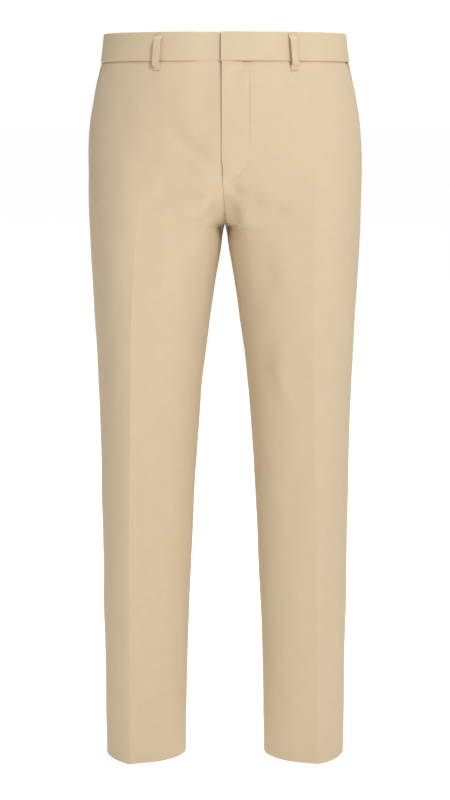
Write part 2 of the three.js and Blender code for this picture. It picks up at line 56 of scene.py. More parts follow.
mm = 0.001
bandHeight = 38.0
outseam = 1040.0
rise = 263.0
cloth = 1.4
gap = 0.3
waistTop = bandHeight / 2
sideDepth = 2.0
hem = {"depth": 36.0, "wall": 2.6, "stitchUp": 33.5}
fly = {
    "seamShift": -3.0, "shiftReach": 30.0, "overlap": 1.6, "lapReach": 10.0, "lapEnds": (164.0, 180.0),
    "lift": 1.9, "tuck": 2.6, "bottom": 196.0, "width": 34.0, "curve": 38.0,
}
bandLap = {"leftEnd": -5.3, "rightEnd": 30.0, "lift": 1.2, "tuck": 3.9, "near": 14.0, "far": 52.0}
sidePocket = {"inset": 34.0, "bottom": 188.0}

# The same form as the solids, a row for each section down the garment.
hipColumns = ("drop", "side", "front", "back", "square")
hipSections = np.array([
    (0, 166.2, 108, 110, 2.15), (38, 171.6, 112, 117, 2.15), (84, 182.1, 116, 128, 2.15),
    (127, 188.3, 118.5, 135, 2.2), (172, 190.7, 119, 138, 2.25), (216, 190.8, 117, 134, 2.3),
    (263, 189.9, 111, 123, 2.3),
])
legColumns = (
    "drop", "outer", "inner", "creaseRight", "creaseLeft", "front", "backCrease", "back", "innerDepth",
    "square",
)
legSections = np.array([
    (110, 186.3, -300, 108, 108, 110, 104, 126, 10, 3.6),
    (165, 190.6, -170, 110, 112, 112, 101, 131, 10, 3.5),
    (196, 190.8, -110, 112, 115, 113, 99, 131, 10, 3.4),
    (218, 190.7, -66, 114, 117, 112.5, 97, 127, 10, 3.3),
    (240, 190.2, -29, 116, 118, 111, 96, 123, 10, 3.2),
    (254, 190, -9, 118, 119, 109.5, 95, 120, 10, 3.1),
    (263, 189.8, 0, 119, 119.5, 108.5, 94.5, 118, 10, 3),
    (303, 188.3, 7, 122.5, 120, 104, 92, 110, 8, 2.6),
    (343, 186.7, 13.8, 125.5, 120, 98.5, 91, 103, 6, 2.35),
    (403, 183.8, 22.3, 128.5, 120, 91.5, 89, 96, 4, 2.15),
    (483, 180.8, 32.4, 130.5, 122.5, 83, 88, 88.5, 3, 2.05),
    (565, 178.4, 38.8, 132, 124.5, 76, 88, 82.5, 3, 2),
    (648, 177.9, 44.2, 134, 128, 70, 89, 77.5, 3, 2),
    (731, 177.1, 48, 136, 130, 65.5, 91, 73, 3, 2),
    (816, 177, 52.2, 136.5, 131.5, 61.5, 93, 69, 3, 2),
    (901, 175.9, 55.4, 136.8, 133, 58, 95, 65, 3, 2),
    (1040, 175.8, 57.9, 137.5, 134.7, 53.5, 97, 59.5, 3, 2),
])
squareColumns = ("drop", "front", "back")
outerSquare = np.array([(110, 2.15, 2.15), (263, 2.1, 2.1), (483, 1.85, 1.9), (1040, 1.7, 1.75)])
creaseColumns = ("drop", "right", "left", "back")
creaseHeights = np.array([
    (190, 0, 0, 0), (263, 1.3, 0.4, 0.8), (403, 2.9, 1.5, 2.2), (648, 3.9, 2.3, 3.0), (1040, 3.9, 2.4, 3.0),
])
creaseReach = 9.0
blend = (110.0, 236.0)

# Soft troughs (depth below 0) and ridges between two points: distance from the centre and drop of the
# first, the same of the second, width and depth.
foldStrength = 2.3
folds = {
    ("right", "front"): [
        (78, 126, 17, 169, 10, -1.7), (4, 192, 46, 171, 9, 1.2), (90, 208, 27, 214, 9, -2.0),
        (90, 230, 8, 229, 8, 1.3), (73, 247, 46, 263, 12, -2.4), (46, 262, 8, 240, 8, -1.7),
        (0, 216, 0, 266, 17, -5.0), (80, 498, 84, 532, 10, -1.2), (96, 560, 104, 640, 16, -0.8),
        (30, 300, 52, 380, 14, -1.2),
    ],
    ("left", "front"): [
        (20, 194, 96, 221, 8, 1.6), (7, 202, 27, 219, 7, -2.3), (27, 219, 56, 228, 7, -2.5),
        (56, 228, 87, 239, 8, -1.9), (24, 228, 26, 268, 10, 1.6), (55, 290, 58, 350, 15, -1.6),
        (0, 216, 0, 266, 17, -5.0), (54, 400, 56, 480, 16, -1.1), (70, 440, 92, 510, 14, 1.2),
        (33, 39, 13, 57, 7, -1.0), (13, 57, 12, 68, 6, -0.8), (88, 600, 100, 690, 16, -0.8),
    ],
    ("right", "back"): [
        (14, 214, 96, 262, 15, -2.4), (40, 300, 132, 322, 18, -2.2), (20, 236, 84, 290, 10, 1.2),
        (70, 480, 120, 520, 14, -1.6), (60, 520, 110, 556, 12, 1.0),
    ],
    ("left", "back"): [
        (16, 222, 90, 258, 14, -2.2), (46, 306, 120, 338, 17, -2.4), (24, 250, 92, 284, 10, 1.1),
        (74, 468, 124, 512, 14, -1.5), (60, 512, 112, 546, 12, 0.9),
    ],
}


def ease(low, high, x):
    t = np.clip((x - low) / (high - low), 0, 1)
    return t * t * (3 - 2 * t)


def mix(a, b, t):
    return a + (b - a) * t


# A smooth curve through a table's rows that never overshoots them.
def read(table, columns, column, drop):
    drop = np.asarray(drop, float)
    at, values = table[:, 0], table[:, columns.index(column)]
    slopes = np.diff(values) / np.diff(at)
    tangents = np.concatenate([slopes[:1], np.zeros(len(at) - 2), slopes[-1:]])
    for i in range(1, len(at) - 1):
        before, after = slopes[i - 1], slopes[i]
        tangents[i] = 0 if before * after <= 0 else 2 * before * after / (before + after)
    x = np.clip(drop, at[0], at[-1])
    i = np.clip(np.searchsorted(at, x, side="right") - 1, 0, len(at) - 2)
    span = at[i + 1] - at[i]
    t = (x - at[i]) / span
    return (
        (2 * t**3 - 3 * t**2 + 1) * values[i]
        + (t**3 - 2 * t**2 + t) * tangents[i] * span
        + (3 * t**2 - 2 * t**3) * values[i + 1]
        + (t**3 - t**2) * tangents[i + 1] * span
    )


def quarter(t, square):
    return np.maximum(np.sin(t), 0) ** (2 / square), np.maximum(np.cos(t), 0) ** (2 / square)


# A line of points, respaced to equal steps.
def evenly(line, count):
    along = np.concatenate([[0], np.cumsum(np.hypot(*np.diff(line, axis=0).T))])
    at = np.linspace(0, along[-1], count + 1)
    return np.stack([np.interp(at, along, line[:, k]) for k in (0, 1)], axis=1), along[-1]


lineSteps = 72


# Half of a side's horizontal outline: centre or inseam to crease, then crease to side seam.
def outline(side, panel, drop):
    sign = -1 if panel == "front" else 1
    leg = {name: float(read(legSections, legColumns, name, drop)) for name in legColumns[1:]}
    crease = leg["backCrease"] if panel == "back" else leg["creaseLeft" if side > 0 else "creaseRight"]
    depth = leg[panel]
    inner, outer, innerDepth = leg["inner"], leg["outer"], leg["innerDepth"]
    sideSquare = float(read(outerSquare, squareColumns, panel, drop))
    width = crease - inner
    cut = math.acos(min(1, crease / width) ** (leg["square"] / 2)) if inner < 0 else 0
    t = np.linspace(0, 1, lineSteps + 1)
    deep, across = quarter(mix(cut, math.pi / 2, t), leg["square"])
    legInner = np.stack([crease - width * across, innerDepth + sign * (depth - sign * innerDepth) * deep], 1)
    out, forward = quarter(t * math.pi / 2, sideSquare)
    legOuter = np.stack(
        [crease + (outer - crease) * out, sideDepth + sign * (depth - sign * sideDepth) * forward], 1
    )
    halves = [evenly(legInner, lineSteps), evenly(legOuter, lineSteps)]
    share = float(ease(*blend, drop))
    if share < 1:
        halfWidth = float(read(hipSections, hipColumns, "side", drop))
        hipDepth = float(read(hipSections, hipColumns, panel, drop))
        hipSquare = float(read(hipSections, hipColumns, "square", drop))
        split = math.asin((crease / halfWidth) ** (hipSquare / 2))
        for k, (low, high) in enumerate(((0, split), (split, math.pi / 2))):
            out, forward = quarter(mix(low, high, t), hipSquare)
            hip = np.stack(
                [halfWidth * out, sideDepth + sign * (hipDepth - sign * sideDepth) * forward], 1
            )
            line = mix(evenly(hip, lineSteps)[0], halves[k][0], share)
            halves[k] = (line, np.hypot(*np.diff(line, axis=0).T).sum())
    return np.concatenate([halves[0][0], halves[1][0][1:]]), (halves[0][1], halves[1][1])


# Drops at which the form is worked out, closest together at the fork, where it turns fastest.
formRows = {"above": 260, "below": 200, "pastHem": 6}
above = rise - rise * np.linspace(1, 0, formRows["above"]) ** 3
below = rise + (outseam + formRows["pastHem"] - rise) * np.linspace(0, 1, formRows["below"])[1:] ** 1.2
formDrops = np.concatenate([above, below])
forms = {}
for formSide in (1, -1):
    for formPanel in ("front", "back"):
        made = [outline(formSide, formPanel, drop) for drop in formDrops]
        forms[formSide, formPanel] = (np.array([m[0] for m in made]), np.array([m[1] for m in made]))
print("form worked out")


def lengthsAt(side, panel, drop):
    lengths = forms[side, panel][1]
    return np.stack([np.interp(drop, formDrops, lengths[:, k]) for k in (0, 1)])


# Points of the bare form: u is 0 at the centre or inseam, 0.5 at the crease and 1 at the side seam.
def formPoints(side, panel, u, drop):
    lines = forms[side, panel][0]
    row = np.clip(np.searchsorted(formDrops, drop, side="right") - 1, 0, len(formDrops) - 2)
    t = ((drop - formDrops[row]) / (formDrops[row + 1] - formDrops[row]))[..., None]
    at = np.clip(u, 0, 1) * 2 * lineSteps
    column = np.clip(at.astype(int), 0, 2 * lineSteps - 1)
    s = (at - column)[..., None]
    low = mix(lines[row, column], lines[row, column + 1], s)
    high = mix(lines[row + 1, column], lines[row + 1, column + 1], s)
    flat = mix(low, high, t)
    return np.stack([side * flat[..., 0], flat[..., 1], waistTop - drop], axis=-1)


def gridNormals(points):
    normal = np.cross(np.gradient(points, axis=1), np.gradient(points, axis=0))
    return normal / np.maximum(np.linalg.norm(normal, axis=-1, keepdims=True), 1e-9)


# A grid's normals, turned away from the middle of the body or leg.
def outwardNormals(points):
    normal = gridNormals(points)
    middle = points.mean(axis=(0, 1))
    hub = np.array([middle[0] * 0.75, 0, middle[2]])
    if ((points - hub) * normal).sum() < 0:
        normal = -normal
    return normal


def foldLift(side, panel, x, drop):
    lift = np.zeros_like(x)
    for x0, drop0, x1, drop1, width, depth in folds["left" if side > 0 else "right", panel]:
        dx, dd = x1 - x0, drop1 - drop0
        long = math.hypot(dx, dd)
        t = ((x - x0) * dx + (drop - drop0) * dd) / long**2
        off = ((x - x0) * dd - (drop - drop0) * dx) / long
        along = np.sin(np.pi * np.clip((t * long + width) / (long + 2 * width), 0, 1)) ** 1.5
        lift += foldStrength * depth * along * np.exp(-((off / width) ** 2))
    return lift


def flyStitch(drop):
    into = np.clip((drop - (fly["bottom"] - fly["curve"])) / fly["curve"], 0, 1)
    return fly["width"] * np.sqrt(1 - into**2)


def groove(distance, width, depth):
    return -depth * np.exp(-((distance / width) ** 2))


# Slight unevenness of cloth that has been pressed and worn.
def ripple(side, panel, x, drop):
    phase = {("front", 1): 0.3, ("front", -1): 1.7, ("back", 1): 2.9, ("back", -1): 4.1}[panel, side]
    waves = ((61, 143, 0.28), (37, 210, 0.2), (97, 83, 0.22))
    return sum(
        size
        * np.sin(2 * np.pi * x / across + phase * (k + 1))
        * np.sin(2 * np.pi * drop / down + phase * (2 - k))
        for k, (across, down, size) in enumerate(waves)
    )


# Width and depth of the troughs in which seams and stitches lie.
rollIn = {"side": (1.6, 0.7), "centre": (1.5, 0.6), "hem": (1.3, 0.28), "band": (2.4, 1.9)}
flyGroove = {"width": 1.6, "depth": 0.6, "deeperInCurve": 1.1}


def clothLift(side, panel, u, drop, x):
    lengths = lengthsAt(side, panel, drop)
    half = np.where(u < 0.5, lengths[0], lengths[1])
    fromCrease = np.abs(u - 0.5) * 2 * half
    column = "back" if panel == "back" else ("left" if side > 0 else "right")
    lift = read(creaseHeights, creaseColumns, column, drop) * np.exp(-fromCrease / creaseReach)
    lift = lift + foldLift(side, panel, x, drop) + ripple(side, panel, x, drop)
    if panel == "front" and side > 0:
        held = 1 - ease(fly["bottom"] - 2, fly["bottom"] + 12, drop)
        lift += fly["lift"] * held * (1 - ease(0, np.maximum(flyStitch(drop), 8), x))
        stitched = (drop < fly["bottom"]) * 1.0
        into = (drop - (fly["bottom"] - fly["curve"])) / fly["curve"]
        slant = np.where(into > 0, np.sqrt(np.clip(1 - into**2, 0.02, 1)), 1)
        depth = flyGroove["depth"] + flyGroove["deeperInCurve"] * ease(-0.2, 0.8, into)
        lift += stitched * groove((x - flyStitch(drop)) * slant, flyGroove["width"], depth)
    if panel == "front" and side < 0:
        held = 1 - ease(bandHeight, fly["bottom"] - 6, drop)
        lift -= fly["tuck"] * held * (1 - ease(bandLap["near"], bandLap["far"], x))
    # Seams roll in at their edges, and the hem's hidden stitches draw the cloth in a little.
    belowPocket = 1 if panel == "back" else ease(180, 196, drop)
    belowFly = 1 if panel == "back" else ease(rise - 70, rise - 60, drop)
    lift += groove((1 - u) * 2 * lengths[1], *rollIn["side"]) * belowPocket
    lift += groove(u * 2 * lengths[0], *rollIn["centre"]) * belowFly
    hemStitch = groove(outseam - drop - hem["stitchUp"], *rollIn["hem"])
    lift += hemStitch + groove(drop - bandHeight, *rollIn["band"])
    return lift


def seamX(side, panel, drop):
    seam = fly["seamShift"] * (1 - ease(fly["bottom"], rise, drop)) if panel == "front" else 0 * drop
    if panel == "front" and side > 0:
        seam = seam - fly["overlap"] * (1 - ease(*fly["lapEnds"], drop))
    return seam


seamHold = 7.0  # how far from the seat seam the cloth still keeps to its line


# A panel's grid of points and, behind it, the same grid moved in by depthOf(drop).
def clothGrid(side, panel, u, drop, depthOf):
    bare = formPoints(side, panel, u, drop)
    normal = outwardNormals(bare)
    x = np.abs(bare[..., 0])
    outer = bare + normal * clothLift(side, panel, u, drop, x)[..., None]
    inward = outwardNormals(outer)
    grids = [outer, outer - inward * depthOf(drop)[..., None]]
    for grid in grids:
        # The seat seam holds its line, however deep the cloth beside it folds.
        pinned = np.exp(-((x / seamHold) ** 2)) * (drop < rise)
        grid[..., 0] = mix(grid[..., 0], bare[..., 0], pinned)
        if panel == "front":
            held = 1 - ease(fly["bottom"], rise, drop)
            grid[..., 0] += fly["seamShift"] * held * np.exp(-x / fly["shiftReach"])
            if side > 0:
                lapped = 1 - ease(*fly["lapEnds"], drop)
                grid[..., 0] -= fly["overlap"] * lapped * np.exp(-x / fly["lapReach"])
        seam = seamX(side, panel, drop)
        near = side * (grid[..., 0] - seam) < gap / 2
        grid[..., 0] = np.where(near, seam + side * gap / 2, grid[..., 0])
        towards = -1 if panel == "front" else 1
        plane = np.where(u > 0.5, sideDepth, read(legSections, legColumns, "innerDepth", drop))
        over = towards * (grid[..., 1] - plane) < gap / 2
        grid[..., 1] = np.where(over, plane + towards * gap / 2, grid[..., 1])
    return grids


sharpAngle = 48


# A closed wall between two grids of points in millimetres, with its own uv in metres.
def shell(name, outer, inner, material, uv):
    rows, columns = outer.shape[:2]
    points = np.concatenate([outer.reshape(-1, 3), inner.reshape(-1, 3)]) * mm
    index = np.arange(rows * columns).reshape(rows, columns)
    back = index + rows * columns

    def quads(a, b, c, d):
        return np.stack([a.ravel(), b.ravel(), c.ravel(), d.ravel()], axis=1)

    faces = [
        quads(index[:-1, :-1], index[:-1, 1:], index[1:, 1:], index[1:, :-1]),
        quads(back[:-1, :-1], back[1:, :-1], back[1:, 1:], back[:-1, 1:]),
        quads(back[0, :-1], back[0, 1:], index[0, 1:], index[0, :-1]),
        quads(index[-1, :-1], index[-1, 1:], back[-1, 1:], back[-1, :-1]),
        quads(index[:-1, 0], index[1:, 0], back[1:, 0], back[:-1, 0]),
        quads(back[:-1, -1], back[1:, -1], index[1:, -1], index[:-1, -1]),
    ]
    faces = np.concatenate(faces)
    a, b, c = points[faces[:, 0]], points[faces[:, 1]], points[faces[:, 2]]
    d = points[faces[:, 3]]
    volume = (np.cross(a, b) * c).sum() + (np.cross(a, c) * d).sum()
    if volume < 0:
        faces = faces[:, ::-1]
    mesh = bpy.data.meshes.new(name)
    mesh.from_pydata(points.tolist(), [], faces.tolist())
    layer = mesh.uv_layers.new(name="cloth")
    both = np.concatenate([uv.reshape(-1, 2), uv.reshape(-1, 2)])
    layer.data.foreach_set("uv", both[faces.ravel()].ravel())
    mesh.shade_smooth()
    mesh.set_sharp_from_angle(angle=math.radians(sharpAngle))
    mesh.materials.append(material)
    piece = bpy.data.objects.new(name, mesh)
    bpy.context.scene.collection.objects.link(piece)
    return piece


def declare(piece, node):
    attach(piece, "root")
    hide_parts(node)


# Fine twill: a diagonal rib in the bump, a soft mottling in the colour and a faint surface fuzz.
def clothMaterial(name, light, dark, rough, sheen, twillDepth):
    material = bpy.data.materials.new(name)
    material.use_nodes = True
    nodes, links = material.node_tree.nodes, material.node_tree.links
    shader = nodes["Principled BSDF"]
    shader.inputs["Roughness"].default_value = rough
    shader.inputs["Sheen Weight"].default_value = sheen
    shader.inputs["Sheen Roughness"].default_value = 0.5
    shader.inputs["Sheen Tint"].default_value = (*light, 1)
    shader.inputs["Specular IOR Level"].default_value = 0.12
    uv = nodes.new("ShaderNodeUVMap")
    uv.uv_map = "cloth"
    scaled = nodes.new("ShaderNodeMapping")
    scaled.inputs["Scale"].default_value = (1000, 1000, 1000)
    scaled.inputs["Rotation"].default_value = (0, 0, math.radians(63))
    links.new(uv.outputs["UV"], scaled.inputs["Vector"])
    twill = nodes.new("ShaderNodeTexWave")
    twill.inputs["Scale"].default_value = 0.42
    twill.inputs["Distortion"].default_value = 0.6
    twill.inputs["Detail"].default_value = 1.0
    links.new(scaled.outputs["Vector"], twill.inputs["Vector"])
    position = nodes.new("ShaderNodeTexCoord")
    mottle = nodes.new("ShaderNodeTexNoise")
    mottle.inputs["Scale"].default_value = 60
    mottle.inputs["Detail"].default_value = 5
    links.new(position.outputs["Object"], mottle.inputs["Vector"])
    yarn = nodes.new("ShaderNodeTexNoise")
    yarn.inputs["Scale"].default_value = 900
    yarn.inputs["Detail"].default_value = 2
    links.new(position.outputs["Object"], yarn.inputs["Vector"])
    share = nodes.new("ShaderNodeMath")
    share.operation = "MULTIPLY_ADD"
    share.inputs[1].default_value = 0.35
    links.new(yarn.outputs["Fac"], share.inputs[0])
    links.new(mottle.outputs["Fac"], share.inputs[2])
    ramp = nodes.new("ShaderNodeValToRGB")
    ramp.color_ramp.elements[0].position = 0.4
    ramp.color_ramp.elements[0].color = (*dark, 1)
    ramp.color_ramp.elements[1].position = 0.95
    ramp.color_ramp.elements[1].color = (*light, 1)
    links.new(share.outputs["Value"], ramp.inputs["Fac"])
    links.new(ramp.outputs["Color"], shader.inputs["Base Color"])
    height = nodes.new("ShaderNodeMath")
    height.operation = "MULTIPLY_ADD"
    height.inputs[1].default_value = 0.6
    links.new(yarn.outputs["Fac"], height.inputs[0])
    links.new(twill.outputs["Fac"], height.inputs[2])
    bump = nodes.new("ShaderNodeBump")
    bump.inputs["Strength"].default_value = 0.35
    bump.inputs["Distance"].default_value = twillDepth
    links.new(height.outputs["Value"], bump.inputs["Height"])
    links.new(bump.outputs["Normal"], shader.inputs["Normal"])
    return material


def metalMaterial(name, colour):
    material = bpy.data.materials.new(name)
    material.use_nodes = True
    nodes, links = material.node_tree.nodes, material.node_tree.links
    shader = nodes["Principled BSDF"]
    shader.inputs["Metallic"].default_value = 1
    shader.inputs["Base Color"].default_value = (*colour, 1)
    position = nodes.new("ShaderNodeTexCoord")
    brushed = nodes.new("ShaderNodeTexNoise")
    brushed.inputs["Scale"].default_value = 420
    links.new(position.outputs["Object"], brushed.inputs["Vector"])
    ramp = nodes.new("ShaderNodeMapRange")
    ramp.inputs["To Min"].default_value = 0.28
    ramp.inputs["To Max"].default_value = 0.45
    links.new(brushed.outputs["Fac"], ramp.inputs["Value"])
    links.new(ramp.outputs["Result"], shader.inputs["Roughness"])
    return material


suiting = clothMaterial(
    "suiting_twill", light=(0.625, 0.503, 0.345), dark=(0.600, 0.481, 0.326),
    rough=0.82, sheen=0.1, twillDepth=0.00012,
)
loopCloth = clothMaterial(
    "suiting_loop", light=(0.615, 0.493, 0.335), dark=(0.58, 0.46, 0.308),
    rough=0.84, sheen=0.1, twillDepth=0.00014,
)
pocketCloth = clothMaterial(
    "suiting_pocket", light=(0.585, 0.465, 0.315), dark=(0.545, 0.43, 0.286),
    rough=0.85, sheen=0.15, twillDepth=0.00012,
)
thread = clothMaterial(
    "stitching_thread", light=(0.47, 0.365, 0.235), dark=(0.42, 0.325, 0.205),
    rough=0.6, sheen=0.1, twillDepth=0.00005,
)
zipTape = clothMaterial(
    "zip_tape_weave", light=(0.55, 0.42, 0.26), dark=(0.49, 0.37, 0.22),
    rough=0.75, sheen=0.1, twillDepth=0.0002,
)
hookMetal = metalMaterial("hook_satin_nickel", (0.62, 0.61, 0.59))
print("materials made")


# The hem is turned up, so the wall there is thicker.
def hemWall(drop):
    return mix(cloth, hem["wall"], ease(outseam - hem["depth"] - 2, outseam - hem["depth"], drop))


def mouthInset(drop):
    share = np.clip((drop - bandHeight) / (sidePocket["bottom"] - bandHeight), 0, 1)
    return sidePocket["inset"] * (1 - share)


panelTop = bandHeight - 0.8  # the panels are sewn into the waistband


# Drops at equal steps along the seat seam, from the fork up to the waistband.
def seatSeamDrops(side, panel, count):
    drop = rise - (rise - panelTop) * np.linspace(0, 1, 600) ** 3
    y = formPoints(side, panel, np.zeros_like(drop), drop)[:, 1]
    return evenly(np.stack([y, drop], axis=1), count)[0][:, 1]


panelRows = {"below": 222, "above": 96}
panelColumns = {"inner": 40, "outer": 32, "crowding": 1.45}


def panelGrid(side, panel):
    legDrops = np.linspace(outseam, rise, panelRows["below"] + 1)
    centre = np.concatenate([legDrops, seatSeamDrops(side, panel, panelRows["above"])[1:]])
    outer = np.concatenate([legDrops, np.linspace(rise, panelTop, panelRows["above"] + 1)[1:]])
    inset = np.maximum(gap / 2, mouthInset(outer)) if panel == "front" else np.full_like(outer, gap / 2)
    first = 0.25 * gap / lengthsAt(side, panel, centre)[0]
    last = 1 - 0.5 * inset / lengthsAt(side, panel, outer)[1]
    # Columns stand closest together at the crease.
    t = 1 - (1 - np.linspace(0, 1, panelColumns["inner"] + 1)) ** panelColumns["crowding"]
    s = np.linspace(0, 1, panelColumns["outer"] + 1)[1:] ** panelColumns["crowding"]
    u = np.concatenate([mix(first[:, None], 0.5, t), mix(0.5, last[:, None], s)], axis=1)
    drop = mix(centre[:, None], outer[:, None], np.clip(2 * u, 0, 1))
    return u, drop


def clothUv(side, panel, u, drop):
    lengths = lengthsAt(side, panel, drop)
    across = np.where(u < 0.5, (u - 0.5) * 2 * lengths[0], (u - 0.5) * 2 * lengths[1])
    return np.stack([side * across * mm, -drop * mm], axis=-1)


for side in (1, -1):
    for panel in ("front", "back"):
        node = panel + ("_left" if side > 0 else "_right")
        u, drop = panelGrid(side, panel)
        outer, inner = clothGrid(side, panel, u, drop, hemWall)
        piece = shell("cloth_" + node, outer, inner, suiting, clothUv(side, panel, u, drop))
        declare(piece, node)
print("panels made")


# Walls and places in millimetres; "cut" is the flat width and length in metres.
facing = {
    "wall": 1.1, "under": cloth + 0.75, "tuckUnder": 9.0, "past": 12, "rows": 60, "columns": 16,
    "cut": (0.034, 0.162),
}
jets = {
    "fromCentre": 56.0, "width": 130.0, "drop": 93.0, "height": 11.0, "wall": 0.8, "raised": 1.25,
    "crown": 0.25, "rows": 15, "columns": 64, "cut": (0.13, 0.011),
}
patchFollows = 0.9  # share of a panel's own folds that a piece lying on it follows


def patch(name, node, side, panel, u, drop, out, thick, material):
    bare = formPoints(side, panel, u, drop)
    normal = outwardNormals(bare)
    lift = clothLift(side, panel, u, drop, np.abs(bare[..., 0])) * patchFollows
    outer = bare + normal * (lift + out)[..., None]
    inner = outer - normal * thick
    for grid in (outer, inner):
        towards = -1 if panel == "front" else 1
        over = towards * (grid[..., 1] - sideDepth) < gap / 2
        grid[..., 1] = np.where(over, sideDepth + towards * gap / 2, grid[..., 1])
    declare(shell(name, outer, inner, material, clothUv(side, panel, u, drop)), node)


def pocketFacing(name, side):
    drops = np.linspace(sidePocket["bottom"] + facing["past"], bandHeight + gap, facing["rows"])
    long = lengthsAt(side, "front", drops)[1]
    start = 1 - 0.5 * (mouthInset(drops) + facing["tuckUnder"]) / long
    end = 1 - 0.25 * gap / long
    u = mix(start[:, None], end[:, None], np.linspace(0, 1, facing["columns"]))
    drop = np.repeat(drops[:, None], facing["columns"], axis=1)
    below = np.full_like(u, -facing["under"])
    node = "pocket_facing_" + name
    patch("facing_" + name, node, side, "front", u, drop, below, facing["wall"], pocketCloth)


# Two narrow jets meet along the middle, and roll down to the panel at top and bottom.
def pocketJets(name, side):
    half = jets["height"] / 2
    rows = np.linspace(jets["drop"] + half, jets["drop"] - half, jets["rows"])
    reach = np.linspace(0, jets["width"], jets["columns"]) + jets["fromCentre"]
    drop = np.repeat(rows[:, None], jets["columns"], axis=1)
    lengths = lengthsAt(side, "back", drop)
    pastCrease = 0.5 + 0.5 * (reach - lengths[0]) / lengths[1]
    u = np.where(reach < lengths[0], 0.5 * reach / lengths[0], pastCrease)
    fromMiddle = np.abs(drop - jets["drop"])
    crown = jets["crown"] * np.sqrt(np.clip(1 - (fromMiddle / half) ** 4, 0, 1))
    raised = jets["raised"] + crown + groove(fromMiddle, 0.8, 0.8)
    node = "back_pocket_" + name
    patch("jets_" + name, node, side, "back", u, drop, raised, jets["wall"], suiting)


for side in (1, -1):
    name = "left" if side > 0 else "right"
    pocketFacing(name, side)
    pocketJets(name, side)
print("pockets made")

band = {
    "wall": 2.6, "proud": 0.6, "roll": 1.3, "uneven": 0.16, "underStitch": 34.6, "halfWaist": 166,
    "denseWithin": 20, "columns": 190, "denseColumns": 46, "rows": 33,
}


def power(value, exponent):
    return np.sign(value) * np.abs(value) ** exponent


def waistPoints(angle, drop):
    t = np.radians(angle)
    square = read(hipSections, hipColumns, "square", drop)
    halfWidth = read(hipSections, hipColumns, "side", drop)
    front = read(hipSections, hipColumns, "front", drop) + sideDepth
    back = read(hipSections, hipColumns, "back", drop) - sideDepth
    depth = np.where(np.cos(t) > 0, front, back)
    x = halfWidth * power(np.sin(t), 2 / square)
    y = sideDepth - depth * power(np.cos(t), 2 / square)
    return np.stack([x, y, waistTop - drop], axis=-1)


def waistNormals(angle, drop):
    across = waistPoints(angle + 0.5, drop) - waistPoints(angle - 0.5, drop)
    down = waistPoints(angle, drop + 1) - waistPoints(angle, drop - 1)
    normal = -np.cross(across, down)
    return normal / np.linalg.norm(normal, axis=-1, keepdims=True)


def frontAngle(x):
    square = hipSections[0, hipColumns.index("square")]
    share = abs(x) / hipSections[0, hipColumns.index("side")]
    return math.copysign(math.degrees(math.asin(share ** (square / 2))), x)


def bandOffset(side, x):
    if side > 0:
        return band["proud"] + bandLap["lift"] * (1 - ease(bandLap["near"], bandLap["far"], x))
    return band["proud"] - bandLap["tuck"] * (1 - ease(bandLap["near"], bandLap["far"], -x))


backGap = math.degrees(math.asin((gap / 2 / band["halfWaist"]) ** 1.075))
for side in (1, -1):
    name = "waistband_left" if side > 0 else "waistband_right"
    end = frontAngle(bandLap["leftEnd"] if side > 0 else bandLap["rightEnd"])
    angles = np.concatenate([
        np.linspace(side * (180 - backGap), side * band["denseWithin"], band["columns"]),
        np.linspace(side * band["denseWithin"], end, band["denseColumns"])[1:],
    ])
    drops = bandHeight * (0.5 + 0.5 * np.sin(np.linspace(math.pi / 2, -math.pi / 2, band["rows"])))
    angle, drop = np.meshgrid(angles, drops)
    base = waistPoints(angle, drop)
    normal = waistNormals(angle, drop)
    fromEdge = np.minimum(drop, bandHeight - drop)
    roll = -band["roll"] * (1 - np.sqrt(1 - (1 - np.clip(fromEdge / band["roll"], 0, 1)) ** 2))
    uneven = band["uneven"] * np.sin(np.radians(angle) * 9 + side) * np.sin(drop / 9 + side * 2)
    understitch = groove(drop - band["underStitch"], 1.2, 0.12)
    offset = bandOffset(side, base[..., 0]) + roll + uneven + understitch
    outer = base + normal * offset[..., None]
    inner = base + normal * (bandOffset(side, base[..., 0]) - band["wall"] - roll)[..., None]
    steps = np.linalg.norm(np.diff(outer[band["rows"] // 2], axis=0), axis=1)
    along = np.concatenate([[0], np.cumsum(steps)])
    uv = np.stack([np.broadcast_to(side * along, drop.shape) * mm, -drop * mm], axis=-1)
    piece = shell("band_" + name[10:], outer, inner, suiting, uv)
    declare(piece, name)
print("waistband made")


# Behind the fly: edges from the centre, drops and walls.
underlap = {"left": 30, "right": -26, "top": 41, "bottom": 186, "wall": 1.2, "behind": 0.5}
zipStrip = {"left": 20, "right": 2, "top": 44, "bottom": 182, "wall": 1.5}
zipRoom = 1.85
stripGrid = {"columns": 24, "rows": 70}


def flyStrip(name, node, place, depthAt, material):
    left, right, top, bottom, thick = (place[k] for k in ("left", "right", "top", "bottom", "wall"))
    xs = np.linspace(right, left, stripGrid["columns"])
    drops = np.linspace(bottom, top, stripGrid["rows"])
    x, drop = np.meshgrid(xs, drops)
    grids = []
    for side in (1, -1):
        lengths = lengthsAt(side, "front", drop)
        u = 0.5 * np.abs(x) / lengths[0]
        grids.append(formPoints(side, "front", u, drop))
    bare = np.where((x < 0)[..., None], grids[1], grids[0])
    bare[..., 0] = x
    normal = outwardNormals(bare)
    depth = depthAt(drop, x)
    piece = shell(
        name, bare - normal * depth[..., None], bare - normal * (depth + thick)[..., None], material,
        np.stack([x * mm, -drop * mm], axis=-1),
    )
    declare(piece, node)


def underlapDepth(drop, x):
    tuck = fly["tuck"] * (1 - ease(bandHeight, fly["bottom"] - 6, drop))
    return tuck + cloth + underlap["behind"] + zipRoom * ease(-12, 0, x)


def zipDepth(drop, x):
    return underlapDepth(drop, x) - zipRoom


flyStrip("underlap", "fly_underlap", underlap, underlapDepth, pocketCloth)
flyStrip("zip_strip", "fly_zip", zipStrip, zipDepth, zipTape)


